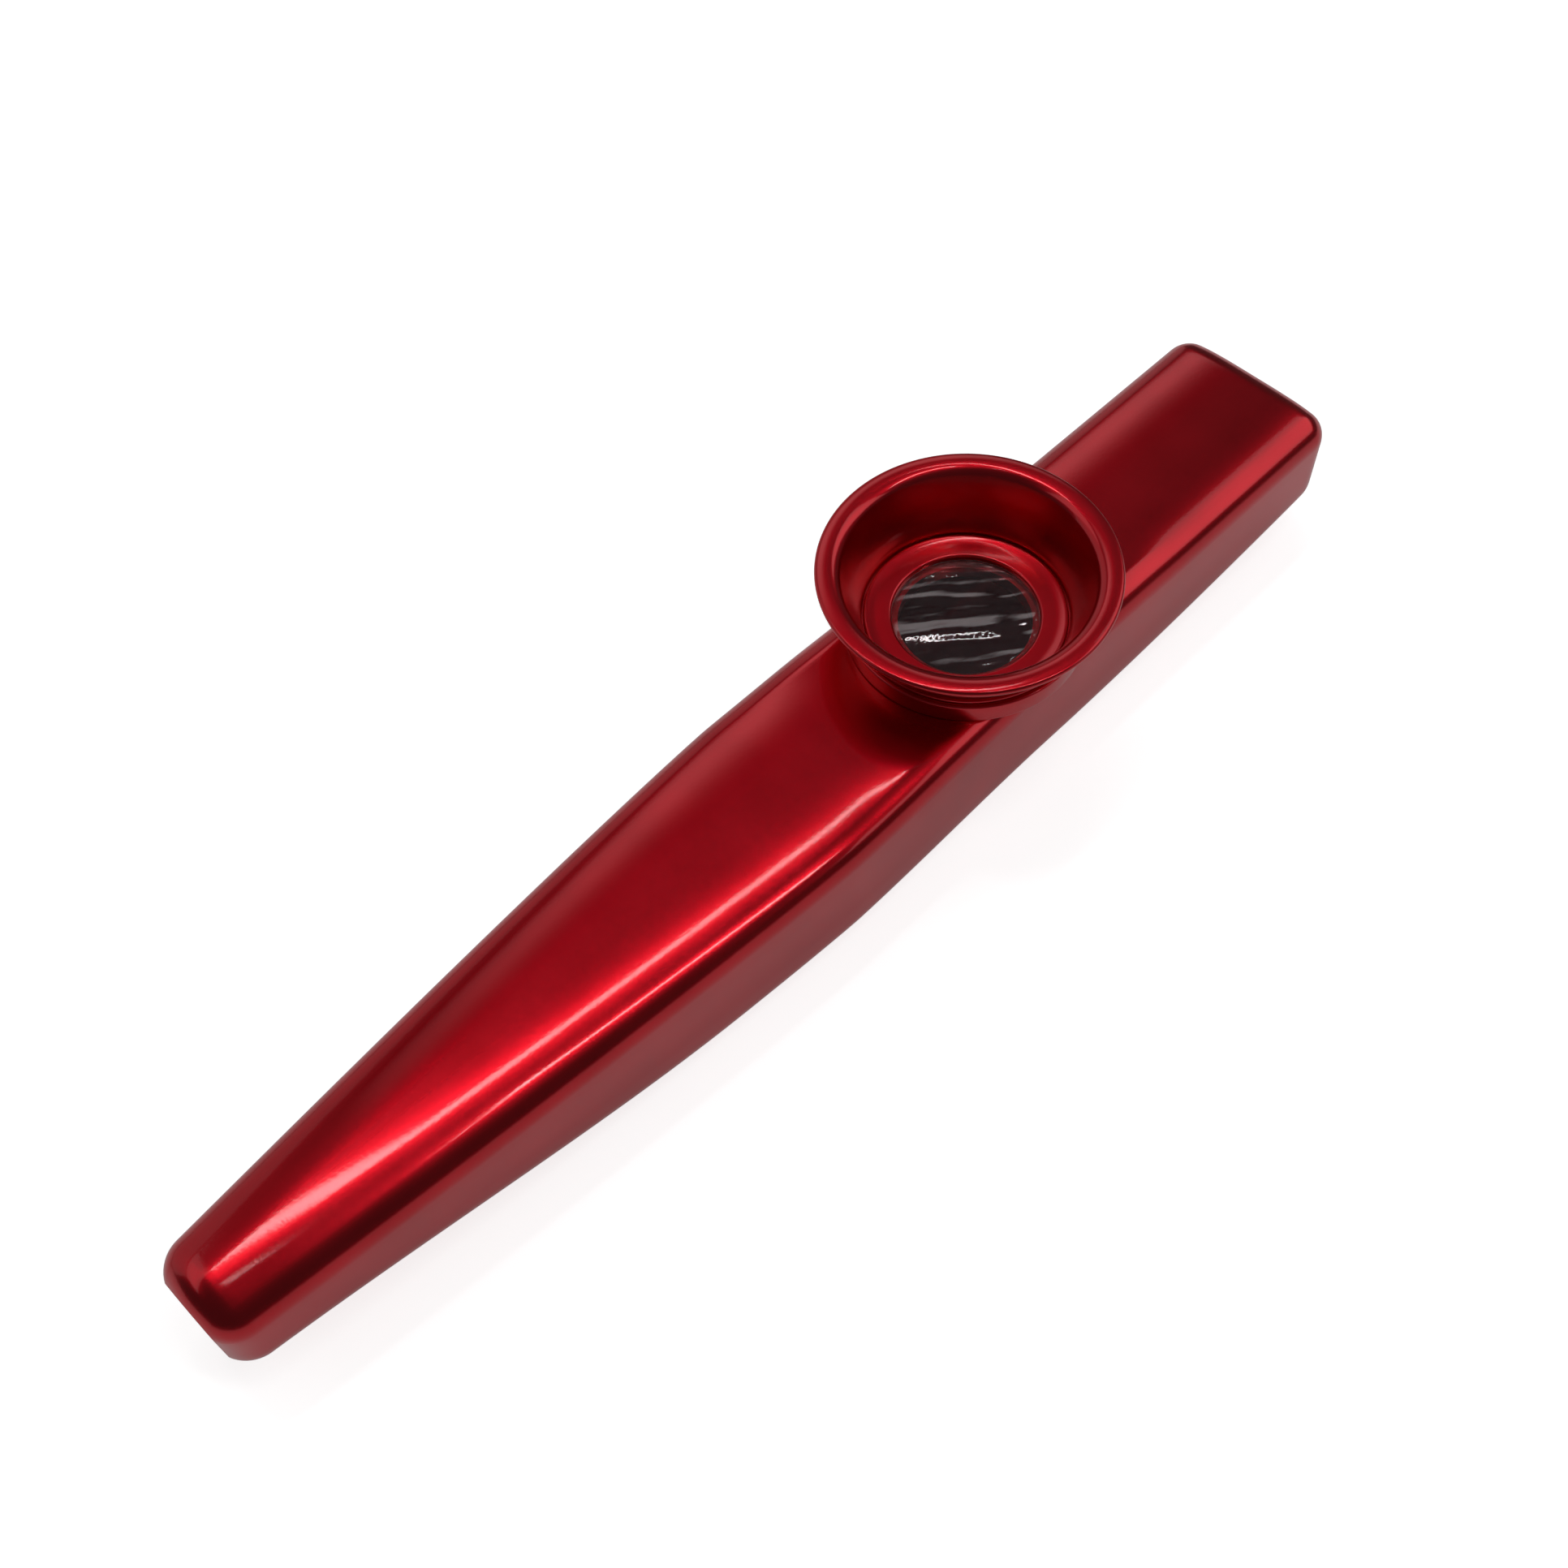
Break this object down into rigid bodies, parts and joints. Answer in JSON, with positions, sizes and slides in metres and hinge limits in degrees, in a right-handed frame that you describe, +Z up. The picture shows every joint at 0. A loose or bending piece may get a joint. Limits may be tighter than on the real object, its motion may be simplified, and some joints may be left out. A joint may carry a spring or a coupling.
{
  "type": "kazoo",
  "caption": "Metal kazoo: tapered tube body with a flat keel, and a flared bowl that screws down over a round film membrane.",
  "frame": {"origin": "under the middle of the body's length, on its middle plane, at the flat keel it rests on", "axes": "+X from the narrow outlet end to the wide mouthpiece end, +Z up along the bowl's axis, +Y to the left seen from the outlet"},
  "size_m": [0.12, 0.0248, 0.0205],
  "materials": {
    "anodised_body": "glossy red anodised",
    "anodised_turret": "glossy red anodised",
    "ring_plastic": "satin white",
    "film": "clear, finely wrinkled"
  },
  "bodies": {
    "body": {"upper_shell": "anodised_body", "lower_shell": "anodised_body", "turret_collar": "anodised_turret", "membrane_ring": "ring_plastic", "membrane_film": "film"},
    "clamp": {"clamp_ring": "anodised_turret"},
    "bowl_cap": {"bowl": "anodised_turret"}
  },
  "joints": [
    {"name": "ring_lift", "type": "slide", "parent": "body", "child": "clamp", "axis": [0, 0, 1], "range_m": [0, 0.00175]},
    {"name": "bowl_turn", "type": "hinge", "parent": "clamp", "child": "bowl_cap", "pos_m": [0.0198, 0, 0.0135], "axis": [0, 0, 1], "range_deg": [0, 900]}
  ],
  "couplings": [
    {"joint": "ring_lift", "follows": "bowl_turn", "m_per_rad": 0.00011141}
  ]
}
